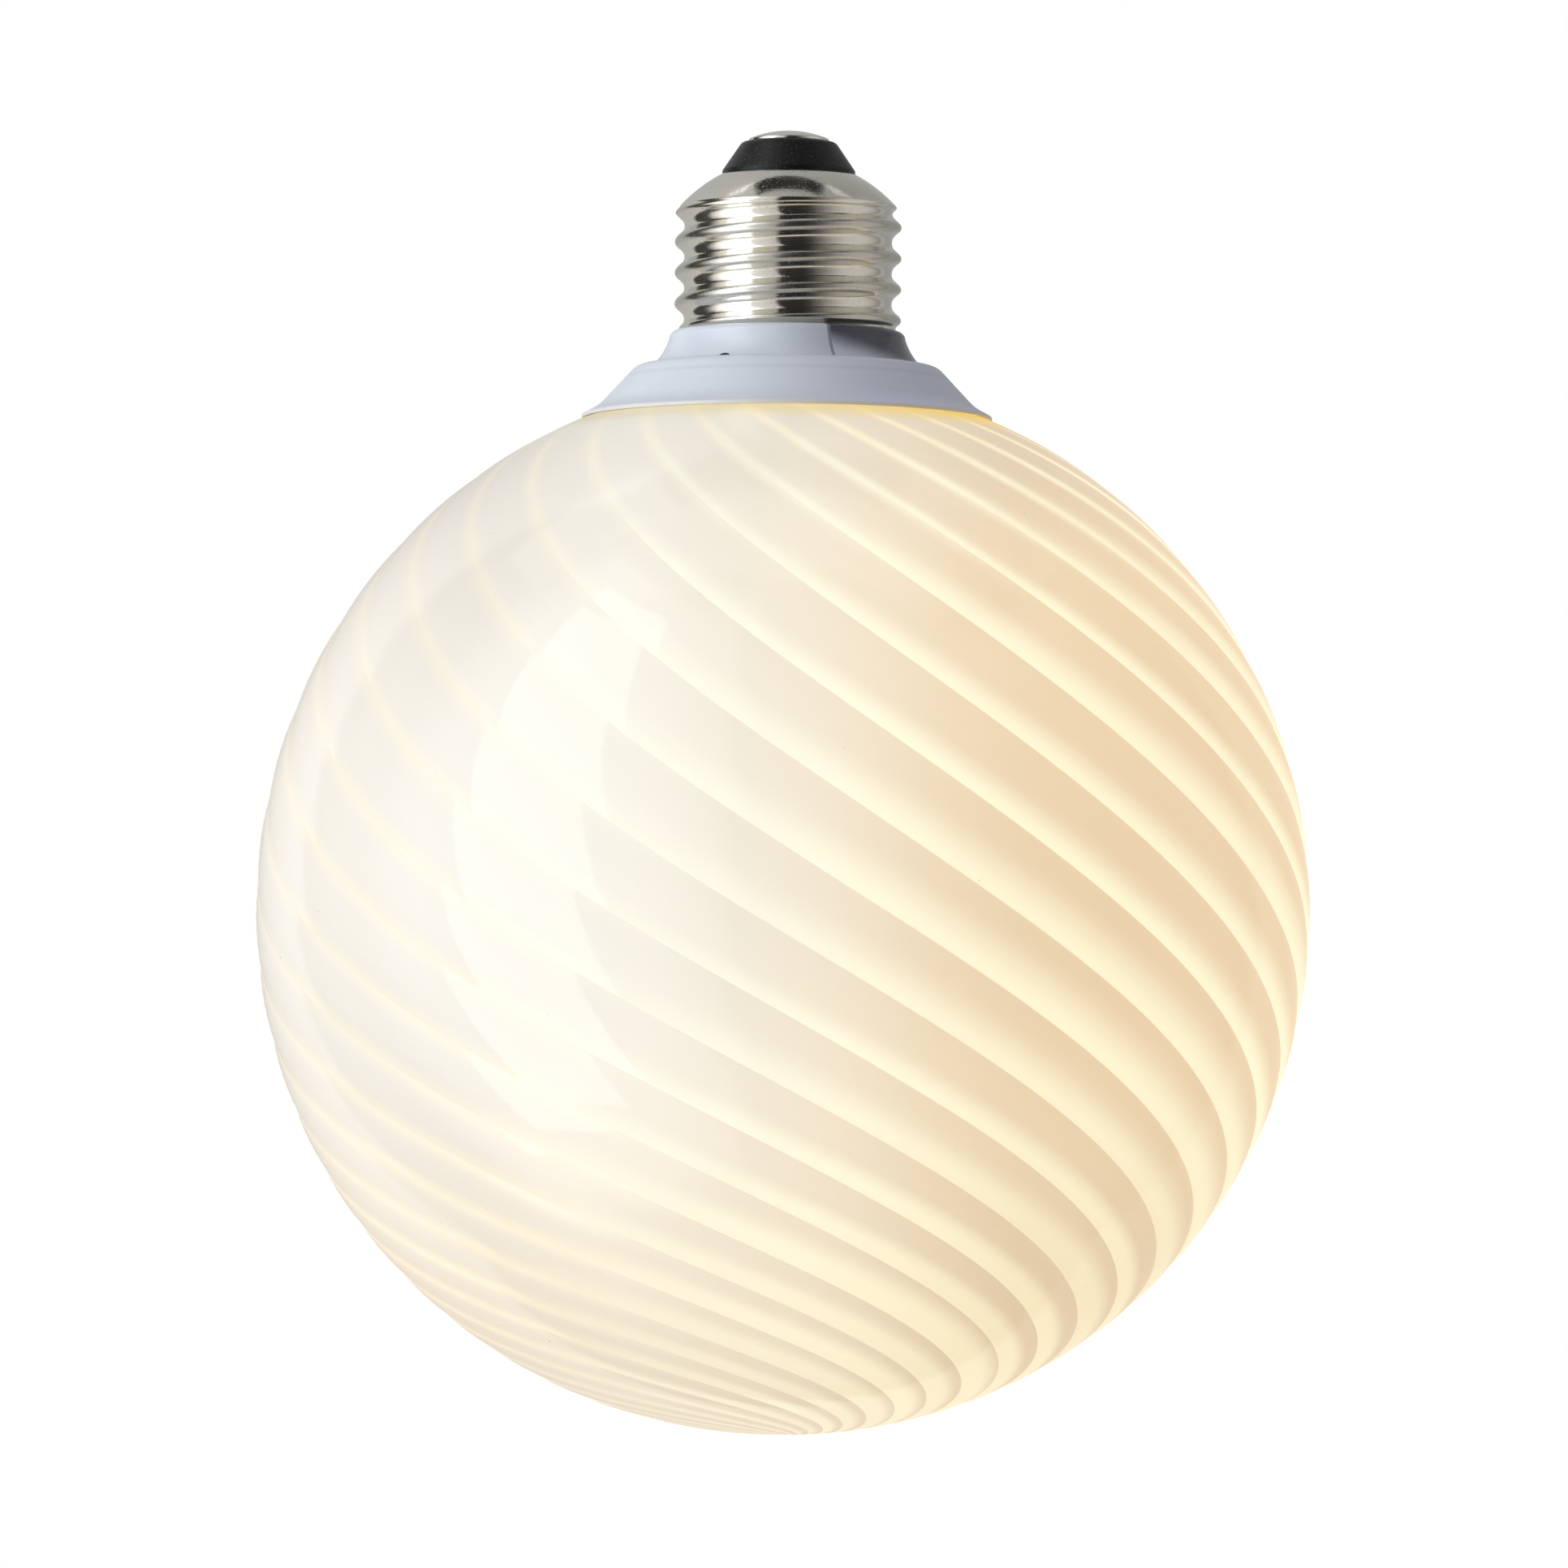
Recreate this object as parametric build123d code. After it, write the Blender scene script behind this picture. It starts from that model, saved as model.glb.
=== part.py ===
"""Decorative LED bulb: an opal glass globe with a swirl of shallow bands, hanging from a medium screw cap.

The origin is the tip of the centre contact. Z is the bulb's axis and points up, out of the cap and into the
lampholder, so the whole bulb lies below the origin. Lengths are in millimetres and angles in degrees.
"""

import os
from math import asinh, atan, ceil, cos, hypot, radians, sin, sinh, sqrt, tan

from build123d import *

# Centre contact, a domed plate on a stem
CONTACT_DIAMETER = 9.3
CONTACT_DOME = 0.95
CONTACT_RIM = 0.35
STEM_DIAMETER = 2.4
STEM_LENGTH = 5.0

# Insulator, a cone with a lip round its foot and a spigot in the sleeve
INSULATOR_TOP_DIAMETER = 10.9
INSULATOR_FOOT_DIAMETER = 15.5
INSULATOR_HEIGHT = 3.9
INSULATOR_LIP = 0.5
INSULATOR_EDGE = 0.5
SPIGOT_DIAMETER = 13.6
SPIGOT_DEPTH = 1.6

# Screw sleeve: medium screw cap, right-hand knuckle thread
THREAD_MAJOR = 26.4
THREAD_MINOR = 24.2
THREAD_PITCH = 3.629
THREAD_LENGTH = 14.6
THREAD_RUNOUT = 0.8
THREAD_END_ANGLE = 225.0
RINGS_PER_TURN = 8
SHEET = 0.3
SHOULDER_LEDGE = 0.2
SHOULDER_DROP = 3.7
SHOULDER_BULGE = 0.25

# Neck housing, the upper tier of the collar
HOUSING_TOP_DIAMETER = 27.5
HOUSING_FOOT_DIAMETER = 31.3
HOUSING_HEIGHT = 4.05
HOUSING_EDGE = 0.9
HOUSING_HOLLOW = 0.22
HOUSING_WALL = 1.6
SLEEVE_GRIP = 6.0

# Skirt ring, the lower tier of the collar
SKIRT_LEDGE_DIAMETER = 35.0
SKIRT_RIM_DIAMETER = 47.8
SKIRT_HEIGHT = 6.3
SKIRT_EDGE = 1.5
SKIRT_WALL = 1.4
SKIRT_RIM = 0.45
FLARE_WIDTH = 1.9
FLARE_DROP = 1.0
FLARE_RADIUS = 2.5
NECK_RING_WALL = 1.2
NECK_RING_DEPTH = 1.2

# Glass globe: half ellipses above and below its widest circle, and a short neck
GLOBE_DIAMETER = 122.0
GLOBE_CROWN = 62.0
GLOBE_BASE = 61.0
NECK_DIAMETER = 28.4
BASE_SPOT_DIAMETER = 6.4

# Swirl of the globe: bands that bulge between creases, and the three terms of their turn
BANDS = 24
BAND_RISE = 0.25
BAND_FADE = 24.0
BAND_START = -57.1
TURN_EVEN = 1.26
TURN_LEAN = 0.723
TURN_SPIRAL = 0.37
SECTIONS = 26

# Clearances
FIT = 0.1
SEAT_GAP = 0.15

# Heights of the seats, each below the one before
contact_seat = -CONTACT_DOME - CONTACT_RIM
sleeve_top = contact_seat - INSULATOR_HEIGHT
thread_top = sleeve_top - SHOULDER_DROP
housing_top = thread_top - THREAD_LENGTH
skirt_top = housing_top - HOUSING_HEIGHT
skirt_rim = skirt_top - SKIRT_HEIGHT

# Radii that two pieces share
stem_radius = STEM_DIAMETER / 2
spigot_radius = SPIGOT_DIAMETER / 2
thread_radius = (THREAD_MAJOR + THREAD_MINOR) / 4
bore_radius = THREAD_MINOR / 2 - SHEET
grip_radius = bore_radius - FIT
rim_radius = SKIRT_RIM_DIAMETER / 2
neck_radius = NECK_DIAMETER / 2
globe_radius = GLOBE_DIAMETER / 2


def crown_rise(radius):
    """Height of the globe's crown at a radius, above the globe's widest circle."""
    return GLOBE_CROWN * sqrt(1 - (radius / globe_radius) ** 2)


globe_middle = skirt_rim - SEAT_GAP - crown_rise(rim_radius)


def ease(share):
    """Smooth step from 0 to 1."""
    share = min(max(share, 0.0), 1.0)
    return share * share * (3 - 2 * share)


def turned(edges):
    """Solid of revolution about Z of a closed outline of radius and height."""
    return revolve(Plane.XZ * make_face(edges), Axis.Z)


def bowed(start, end, bow):
    """Arc between two points of an outline, bowed to the left of the way from start to end."""
    run, rise = end[0] - start[0], end[1] - start[1]
    length = hypot(run, rise)
    middle = (
        (start[0] + end[0]) / 2 - bow * rise / length,
        (start[1] + end[1]) / 2 + bow * run / length,
    )
    return ThreePointArc(start, middle, end)


def centre_contact():
    """Domed plate with a flat rim, and the stem that holds it in the insulator."""
    radius = CONTACT_DIAMETER / 2
    stem_end = contact_seat - STEM_LENGTH
    dome = TangentArc((0, 0), (radius, -CONTACT_DOME), tangent=(1, 0))
    plate = Polyline(
        (radius, -CONTACT_DOME),
        (radius, contact_seat),
        (stem_radius, contact_seat),
        (stem_radius, stem_end),
        (0, stem_end),
        (0, 0),
    )
    return turned([dome, plate])


def insulator():
    """Cone that carries the contact, with a lip that covers the edge of the sleeve's opening."""
    foot_radius = INSULATOR_FOOT_DIAMETER / 2
    hole_radius = stem_radius + FIT
    spigot_end = sleeve_top - SPIGOT_DEPTH
    outline = Polyline(
        (hole_radius, contact_seat),
        (INSULATOR_TOP_DIAMETER / 2, contact_seat),
        (foot_radius, sleeve_top + INSULATOR_LIP),
        (foot_radius, sleeve_top),
        (spigot_radius, sleeve_top),
        (spigot_radius, spigot_end),
        (hole_radius, spigot_end),
        close=True,
    )
    face = make_face(outline)
    top_edge = face.vertices().group_by(Axis.Y)[-1].sort_by(Axis.X)[-1]
    return revolve(Plane.XZ * fillet(top_edge, INSULATOR_EDGE), Axis.Z)


def thread_blank():
    """Knuckle thread: a disc set off the axis, which turns once in each pitch, so that its rim draws the thread."""
    offset = (THREAD_MAJOR - THREAD_MINOR) / 4
    steps = ceil(THREAD_LENGTH / THREAD_PITCH * RINGS_PER_TURN)
    rings = []
    for step in range(steps + 1):
        height = THREAD_LENGTH * step / steps
        reach = offset * ease(min(height, THREAD_LENGTH - height) / THREAD_RUNOUT)
        angle = radians(THREAD_END_ANGLE + 360 * height / THREAD_PITCH)
        middle = Plane((reach * cos(angle), reach * sin(angle), housing_top + height))
        rings.append(Wire([Edge.make_circle(thread_radius, middle)]))
    return Solid.make_loft(rings)


def screw_sleeve():
    """Shoulder and thread of the cap, with a plain bore and an opening for the insulator."""
    ledge_radius = INSULATOR_FOOT_DIAMETER / 2 + SHOULDER_LEDGE
    ceiling = sleeve_top - SHEET
    shoulder = turned(
        [
            Line((0, sleeve_top), (ledge_radius, sleeve_top)),
            bowed((ledge_radius, sleeve_top), (thread_radius, thread_top), SHOULDER_BULGE),
            Polyline((thread_radius, thread_top), (0, thread_top), (0, sleeve_top)),
        ]
    )
    hollow = turned(
        [
            Line((0, ceiling), (ledge_radius, ceiling)),
            bowed((ledge_radius, ceiling), (bore_radius, thread_top), SHOULDER_BULGE),
            Polyline((bore_radius, thread_top), (bore_radius, housing_top), (0, housing_top), (0, ceiling)),
        ]
    )
    opening = Pos(0, 0, sleeve_top) * Cylinder(spigot_radius + FIT, 4 * SHEET)
    return shoulder + thread_blank() - hollow - opening


def neck_housing():
    """Upper tier of the collar: a flared ring whose tube grips the sleeve above it and the skirt below it."""
    top_radius = HOUSING_TOP_DIAMETER / 2
    foot_radius = HOUSING_FOOT_DIAMETER / 2
    tube_bore = grip_radius - HOUSING_WALL
    tube_top = housing_top + SLEEVE_GRIP
    tube_end = skirt_top - SKIRT_WALL
    edge_start = (top_radius - HOUSING_EDGE, housing_top)
    edge_end = (top_radius, housing_top - HOUSING_EDGE)
    foot = (foot_radius, skirt_top)
    return turned(
        [
            Polyline((tube_bore, tube_top), (grip_radius, tube_top), (grip_radius, housing_top), edge_start),
            TangentArc(edge_start, edge_end, tangent=(1, 0)),
            bowed(edge_end, foot, -HOUSING_HOLLOW),
            Polyline(
                foot,
                (grip_radius, skirt_top),
                (grip_radius, tube_end),
                (tube_bore, tube_end),
                (tube_bore, tube_top),
            ),
        ]
    )


def skirt_ring():
    """Lower tier of the collar: a flared cover that rests on the globe, with a ring round the glass neck."""
    ledge_radius = SKIRT_LEDGE_DIAMETER / 2
    hole_radius = grip_radius + FIT
    ceiling = skirt_top - SKIRT_WALL
    ring_inner = neck_radius + FIT
    ring_outer = ring_inner + NECK_RING_WALL
    ring_end = ceiling - NECK_RING_DEPTH
    flare_start = (rim_radius - FLARE_WIDTH, skirt_rim + SKIRT_RIM + FLARE_DROP)
    seat_radius = rim_radius - SKIRT_WALL
    seat_height = globe_middle + SEAT_GAP + crown_rise(seat_radius)
    outline = Polyline(
        (hole_radius, skirt_top),
        (ledge_radius, skirt_top),
        flare_start,
        (rim_radius, skirt_rim + SKIRT_RIM),
        (rim_radius, skirt_rim),
        (seat_radius, seat_height),
        (ledge_radius - SKIRT_WALL, ceiling),
        (ring_outer, ceiling),
        (ring_outer, ring_end),
        (ring_inner, ring_end),
        (ring_inner, ceiling),
        (hole_radius, ceiling),
        close=True,
    )
    face = make_face(outline)
    ledge_edge = face.vertices().sort_by_distance((ledge_radius, skirt_top))[0]
    face = fillet(ledge_edge, SKIRT_EDGE)
    flare_edge = face.vertices().sort_by_distance(flare_start)[0]
    return revolve(Plane.XZ * fillet(flare_edge, FLARE_RADIUS), Axis.Z)


def band_turn(latitude):
    """Turn of the swirl at a latitude of the globe, in radians, growing downwards.

    One term turns evenly with latitude, one keeps a steady angle to the meridians, as a spiral on a sphere does,
    and one leans the bands over more in the lower half than in the upper.
    """
    even = TURN_EVEN * latitude
    spiral = TURN_SPIRAL * asinh(tan(latitude))
    lean = TURN_LEAN * cos(latitude)
    return -(even + spiral + lean)


def band_section(latitude):
    """Level arc across one band, from crease to crease, at a latitude in radians."""
    upper = latitude > 0
    radius = globe_radius * cos(latitude)
    height = globe_middle + (GLOBE_CROWN if upper else GLOBE_BASE) * sin(latitude)
    end_radius = neck_radius if upper else BASE_SPOT_DIAMETER / 2
    rise = BAND_RISE * ease((radius - end_radius) / BAND_FADE)
    start = radians(BAND_START) + band_turn(latitude)
    half_band = radians(180 / BANDS)
    points = [
        (reach * cos(start + turn), reach * sin(start + turn), height)
        for reach, turn in ((radius, 0), (radius + rise, half_band), (radius, 2 * half_band))
    ]
    return Wire([ThreePointArc(*points)])


def stretched(radius):
    """Stretched latitude at which the globe has a radius: its even steps crowd together towards the poles."""
    return asinh(sqrt((globe_radius / radius) ** 2 - 1))


def glass_globe():
    """Globe of like bands, each drawn through its sections and set round the axis, closed below and by the neck."""
    top = stretched(neck_radius)
    bottom = -stretched(BASE_SPOT_DIAMETER / 2)
    stations = [top + (bottom - top) * step / (SECTIONS - 1) for step in range(SECTIONS)]
    band = Shell.make_loft([band_section(atan(sinh(station))) for station in stations])
    bands = [band.rotate(Axis.Z, 360 * copy / BANDS).face() for copy in range(BANDS)]
    crown = Face(Wire([face.edges().sort_by(Axis.Z)[-1] for face in bands]))
    base = Face(Wire([face.edges().sort_by(Axis.Z)[0] for face in bands]))
    body = Solid(Shell([*bands, crown, base]))
    neck_foot = globe_middle + crown_rise(neck_radius)
    neck_end = skirt_top - SKIRT_WALL - FIT
    neck = Pos(0, 0, neck_foot) * Cylinder(
        neck_radius, neck_end - neck_foot, align=(Align.CENTER, Align.CENTER, Align.MIN)
    )
    return body + neck


PIECES = (centre_contact, insulator, screw_sleeve, neck_housing, skirt_ring, glass_globe)

os.makedirs("parts", exist_ok=True)
for piece in PIECES:
    export_step(piece(), f"parts/{piece.__name__}.step")
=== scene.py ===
"""Dresses a decorative LED bulb: an opal glass globe with a swirl of bands, a white two-tier collar and a
nickel screw cap with a black insulator.

The bulb hangs below its cap. Z is its axis, up into the lampholder, and the photograph looks along +Y.
Lengths are in metres. Azimuth is the angle round the axis from +X, and longitude the angle from the front
towards +X.
"""

import math

import bpy
import numpy as np
from bpy.props import FloatProperty, FloatVectorProperty, IntProperty, PointerProperty
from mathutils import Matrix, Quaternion, Vector


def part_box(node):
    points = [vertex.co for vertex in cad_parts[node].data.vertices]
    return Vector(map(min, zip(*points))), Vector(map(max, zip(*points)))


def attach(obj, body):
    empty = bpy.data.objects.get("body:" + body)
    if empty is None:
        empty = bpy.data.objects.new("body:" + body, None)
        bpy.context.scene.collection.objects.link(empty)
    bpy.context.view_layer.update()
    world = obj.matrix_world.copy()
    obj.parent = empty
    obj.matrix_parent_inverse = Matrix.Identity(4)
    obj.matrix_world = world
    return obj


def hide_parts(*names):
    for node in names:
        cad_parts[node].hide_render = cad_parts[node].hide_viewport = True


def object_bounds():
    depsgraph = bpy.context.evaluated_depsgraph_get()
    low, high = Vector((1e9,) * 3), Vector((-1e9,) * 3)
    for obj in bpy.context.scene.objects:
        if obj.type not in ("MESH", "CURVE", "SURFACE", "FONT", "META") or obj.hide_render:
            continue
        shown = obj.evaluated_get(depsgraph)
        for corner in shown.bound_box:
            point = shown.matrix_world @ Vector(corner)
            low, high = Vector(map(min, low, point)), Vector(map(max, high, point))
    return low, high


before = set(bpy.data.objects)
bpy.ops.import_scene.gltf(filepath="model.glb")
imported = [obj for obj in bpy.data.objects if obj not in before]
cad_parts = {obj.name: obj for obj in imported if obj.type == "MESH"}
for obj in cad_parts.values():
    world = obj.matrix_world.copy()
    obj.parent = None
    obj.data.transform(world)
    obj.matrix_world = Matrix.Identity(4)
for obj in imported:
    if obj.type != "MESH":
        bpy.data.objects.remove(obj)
CAD_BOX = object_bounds()

bl_info = {
    "name": "Decorative LED Bulb",
    "version": (1, 0, 0),
    "blender": (4, 5, 0),
    "location": "View3D > Sidebar > LED Bulb",
    "description": "Makes the swirl globe, the collar and the screw cap of an LED bulb on its packed frame",
    "category": "Object",
}

MM = 0.001

# Columns of each mesh round the axis. The globe has so many rows, and columns in each band
CONTACT_COLUMNS, INSULATOR_COLUMNS, SLEEVE_COLUMNS = 96, 128, 192
HOUSING_COLUMNS, SKIRT_COLUMNS = 160, 192
GLOBE_ROWS, BAND_STEPS = 200, 12

# Rounding of small edges, and the longest side that an outline keeps whole
PLAIN_EDGE, FIRM_EDGE, RIM_EDGE = 0.10 * MM, 0.12 * MM, 0.16 * MM
SHEET_EDGE, INNER_EDGE = 0.09 * MM, 0.06 * MM
LONGEST_SIDE, SKIRT_SIDE, THREAD_SIDE = 0.30 * MM, 0.35 * MM, 0.16 * MM

WHITE = (1.0, 1.0, 1.0, 1.0)


# Levels and radii that the frame gives

def top_of(node):
    """Height of a node's highest point."""
    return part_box(node)[1].z


def foot_of(node):
    """Height of a node's lowest point."""
    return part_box(node)[0].z


def radius_of(node):
    """Half of a node's width across the bulb's axis."""
    low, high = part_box(node)
    return (high.x - low.x) / 2


# Settings that a user would change

def length(name, description, default):
    """A length in metres."""
    return FloatProperty(
        name=name, description=description, default=default, min=0.0, precision=5, unit="LENGTH"
    )


def angle(name, description, degrees):
    """An angle, written here in degrees and kept in radians."""
    return FloatProperty(name=name, description=description, default=math.radians(degrees), subtype="ANGLE")


def share(name, description, default):
    """A plain share or factor."""
    return FloatProperty(name=name, description=description, default=default, subtype="FACTOR")


def colour(name, description, default):
    """A colour in linear values."""
    return FloatVectorProperty(
        name=name, description=description, default=default, size=3, min=0.0, soft_max=1.0, subtype="COLOR"
    )


class CapSizes(bpy.types.PropertyGroup):
    """Sizes of the screw cap: contact, insulator and sleeve."""

    contact_dome: length("Contact dome", "Rise of the contact's domed top", 0.95 * MM)
    contact_rim: length("Contact rim", "Height of the contact's flat rim", 0.35 * MM)
    stem_radius: length("Stem radius", "Radius of the contact's stem", 1.2 * MM)
    insulator_top: length("Insulator top", "Radius of the insulator's top", 5.45 * MM)
    insulator_lip: length("Insulator lip", "Height of the upright lip at the insulator's foot", 0.5 * MM)
    insulator_edge: length("Insulator edge", "Rounding of the insulator's top edge", 0.5 * MM)
    spigot_radius: length("Spigot radius", "Radius of the insulator's spigot in the sleeve", 6.8 * MM)
    thread_pitch: length("Thread pitch", "Height of one turn of the thread", 3.629 * MM)
    thread_depth: length("Thread depth", "Height of a crest above a root", 1.1 * MM)
    thread_length: length("Thread length", "Height of the threaded part", 14.6 * MM)
    thread_runout: length("Thread runout", "Height over which the thread fades at each end", 0.8 * MM)
    thread_end: angle("Thread end", "Azimuth of the crest at the thread's lower end", 225.0)
    crest_pinch: share("Crest pinch", "How much narrower the crests are than the roots", 0.10)
    flank_lean: share("Flank lean", "How much steeper the flanks are than a sine wave's", 0.035)
    sheet: length("Sheet", "Thickness of the sleeve's sheet", 0.3 * MM)
    shoulder_ledge: length("Shoulder ledge", "Flat width round the insulator's foot", 0.2 * MM)
    shoulder_bulge: length("Shoulder bulge", "Bow of the shoulder's profile", 0.25 * MM)
    fit: length("Fit", "Clearance between pieces that slide together", 0.1 * MM)


class CollarSizes(bpy.types.PropertyGroup):
    """Sizes of the collar: housing and skirt."""

    housing_top: length("Housing top", "Radius of the housing's top edge", 13.75 * MM)
    housing_edge: length("Housing edge", "Rounding of the housing's top edge", 0.9 * MM)
    housing_hollow: length("Housing hollow", "Depth of the housing's hollow flank", 0.22 * MM)
    housing_wall: length("Housing wall", "Wall of the tube inside the sleeve", 1.6 * MM)
    grip_radius: length("Grip radius", "Radius of the tube that grips the sleeve", 11.7 * MM)
    parting_longitude: angle("Parting line", "Longitude of the mould's parting line", 20.5)
    notch_longitude: angle("Notch", "Longitude of the small notch at the housing's foot", -28.0)
    ledge_radius: length("Ledge radius", "Radius of the skirt's flat top", 17.5 * MM)
    ledge_edge: length("Ledge edge", "Rounding of the skirt's top edge", 1.5 * MM)
    skirt_wall: length("Skirt wall", "Wall of the skirt", 1.4 * MM)
    rim_height: length("Rim height", "Height of the skirt's upright rim", 0.45 * MM)
    flare_width: length("Flare width", "Width of the flare above the rim", 1.9 * MM)
    flare_drop: length("Flare drop", "Height of the flare above the rim", 1.0 * MM)
    flare_radius: length("Flare radius", "Rounding where the flare starts", 2.5 * MM)
    neck_ring_wall: length("Neck ring wall", "Wall of the ring round the glass neck", 1.2 * MM)
    fit: length("Fit", "Clearance between pieces that slide together", 0.1 * MM)


class GlobeSizes(bpy.types.PropertyGroup):
    """Sizes of the glass globe and of its swirl."""

    radius: length("Radius", "Radius of the globe at its widest crease", 61.0 * MM)
    upper: length("Upper height", "Height of the globe above its widest circle", 62.0 * MM)
    lower: length("Lower height", "Depth of the globe below its widest circle", 61.0 * MM)
    neck_radius: length("Neck radius", "Radius of the glass neck", 14.2 * MM)
    spot_radius: length("Base spot", "Radius of the plain spot at the globe's foot", 3.2 * MM)
    bands: IntProperty(name="Bands", description="Bands of the swirl round the globe", default=24, min=3)
    band_rise: length("Band rise", "Height of a band's middle above its creases", 0.25 * MM)
    band_fade: length("Band fade", "Width over which the bands flatten towards the poles", 24.0 * MM)
    band_start: angle("Band start", "Azimuth of the first crease where the turn is none", -57.1)
    turn_even: share("Even turn", "Turn that grows evenly with latitude", 1.26)
    turn_spiral: share("Spiral turn", "Turn that keeps a steady angle to the meridians", 0.37)
    turn_lean: share("Lean", "Turn that leans the bands over more in the lower half", 0.723)


class BulbColours(bpy.types.PropertyGroup):
    """Colours of the bulb's finishes and of its light."""

    nickel: colour("Nickel", "Plating of the sleeve", (0.74, 0.71, 0.64))
    contact: colour("Contact", "Plating of the centre contact", (0.78, 0.76, 0.70))
    insulator: colour("Insulator", "Black insulator", (0.006, 0.006, 0.0055))
    plastic: colour("Plastic", "White plastic of the collar", (0.77, 0.80, 0.87))
    # Painted shade: a darker, bluer copy of the plastic for the collar's side towards +X.
    shaded: colour("Cool plastic", "White plastic of the collar on its cool side", (0.61, 0.645, 0.80))
    # Painted shade for the housing's side past its parting line.
    shade: colour("Shade", "Smoky side of the housing", (0.045, 0.05, 0.07))
    # Painted light: the warm glow of the glass, painted on the skirt's rim.
    rim_painted_glow: colour("Rim plastic", "Plastic of the skirt's rim, warm from the glass", (0.80, 0.76, 0.70))
    opal: colour("Opal", "Glass of a band's deep side", (0.775, 0.765, 0.72))
    strip: colour("Strip", "Glass of a band's thin side", (0.76, 0.725, 0.65))
    glow_deep: colour("Deep glow", "Light through a band's deep side", (0.55, 0.37, 0.16))
    glow_thin: colour("Thin glow", "Light through a band's thin side", (0.75, 0.68, 0.43))
    glow_gold: colour("Gold glow", "Light through a band's thin side at the left", (0.80, 0.60, 0.28))
    glow_rim: colour("Rim glow", "Light through a band's thin side close to the skirt", (0.80, 0.55, 0.20))
    leak: colour("Leak", "Light that escapes under the skirt", (0.62, 0.40, 0.05))
    leak_glass: colour("Leak glass", "Glass where that light escapes", (0.50, 0.42, 0.20))
    scatter: colour("Scatter", "Side light that spreads through the glass to the front", (0.165, 0.165, 0.14))


class StudioSettings(bpy.types.PropertyGroup):
    """Camera, light cards and floor."""

    distance: length("Distance", "Level distance from the bulb's axis to the camera", 1.8)
    look_up: angle("Look up", "Angle by which the camera looks up", 3.4)
    focal_length: length("Focal length", "Focal length of the camera", 0.356)
    roll: angle("Roll", "Angle by which the camera leans to its left", 0.45)
    aim_drop: length("Aim drop", "How far below the bulb's middle the camera aims", 0.27 * MM)
    key_light: share("Key light", "Radiance that the tall strip at the left adds", 1.55)
    wall_light: share("Wall light", "Radiance of the lit wall round the strip", 1.14)
    fill_light: share("Fill light", "Radiance of the right card", 0.62)
    back_light: share("Back light", "Radiance of the card behind", 0.44)
    ceiling_light: share("Ceiling light", "Radiance of the cards above and behind", 0.45)
    overhead_light: share("Overhead light", "Radiance of the card above", 0.42)
    side_light: share("Side light", "Radiance of the dim card at the far left", 0.03)
    ambient: share("Ambient", "Radiance of the dim room", 0.03)
    backdrop: angle("Backdrop", "Angle from straight behind at which the mirrored backdrop ends", 7.0)
    backdrop_core: angle("Backdrop core", "Angle within which the mirrored backdrop is all white", 4.0)
    floor_level: FloatProperty(
        name="Floor level", description="Height of the floor", default=-2.6, unit="LENGTH"
    )


class BulbSettings(bpy.types.PropertyGroup):
    """All settings of the bulb."""

    cap: PointerProperty(type=CapSizes, name="Cap", description="Sizes of the screw cap")
    collar: PointerProperty(type=CollarSizes, name="Collar", description="Sizes of the collar")
    globe: PointerProperty(type=GlobeSizes, name="Globe", description="Sizes of the globe")
    colours: PointerProperty(type=BulbColours, name="Colours", description="Colours of the finishes")
    studio: PointerProperty(type=StudioSettings, name="Studio", description="Camera, light and floor")


# Outlines in radius and height, as arrays of points

def arc(start, end, bow, steps):
    """Circular arc between two points, bowed to the left of the way from start to end.

    The chord's middle is moved by the bow, and the circle through the three points has the radius
    (half chord squared + bow squared) / (2 bow).
    """
    start, end = np.array(start), np.array(end)
    chord = end - start
    half = np.hypot(*chord) / 2
    left = np.array((-chord[1], chord[0])) / (2 * half)
    radius = (half**2 + bow**2) / (2 * bow)
    centre = (start + end) / 2 + (bow - radius) * left
    sweep = 2 * math.asin(min(1.0, half / abs(radius)))
    turn = -math.copysign(1.0, bow) * np.linspace(0.0, sweep, steps)
    x, y = start - centre
    return centre + np.stack((x * np.cos(turn) - y * np.sin(turn), x * np.sin(turn) + y * np.cos(turn)), axis=1)


def softened(points, reach, closed, steps=5):
    """Outline whose corners are rounded: each corner P becomes the parabola (1-s)^2 A + 2s(1-s) P + s^2 B.

    A and B lie on its two sides, a reach away or just under half of the shorter side.
    """
    points = np.asarray(points, dtype=float)
    if closed:
        before, corner, after = np.roll(points, 1, axis=0), points, np.roll(points, -1, axis=0)
    else:
        before, corner, after = points[:-2], points[1:-1], points[2:]
    back, ahead = before - corner, after - corner
    back_length = np.hypot(*back.T)[:, None]
    ahead_length = np.hypot(*ahead.T)[:, None]
    cut = np.minimum(np.broadcast_to(np.asarray(reach, dtype=float).reshape(-1, 1), back_length.shape),
                     0.48 * np.minimum(back_length, ahead_length))
    first, last = corner + back * cut / back_length, corner + ahead * cut / ahead_length
    s = np.linspace(0.0, 1.0, steps)[None, :, None]
    curve = (1 - s) ** 2 * first[:, None] + 2 * s * (1 - s) * corner[:, None] + s**2 * last[:, None]
    curve = curve.reshape(-1, 2)
    return curve if closed else np.concatenate((points[:1], curve, points[-1:]))


def spaced(points, closed, longest):
    """Outline with extra points on its long sides, so that no side is longer than the longest."""
    ends = np.concatenate((points, points[:1])) if closed else points
    sides = np.hypot(*np.diff(ends, axis=0).T)
    pieces = np.maximum(1, np.ceil(sides / longest)).astype(int)
    side = np.repeat(np.arange(len(sides)), pieces)
    within = (np.arange(len(side)) - np.repeat(np.cumsum(pieces) - pieces, pieces)) / np.repeat(pieces, pieces)
    result = ends[side] + (ends[side + 1] - ends[side]) * within[:, None]
    return result if closed else np.concatenate((result, points[-1:]))


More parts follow.
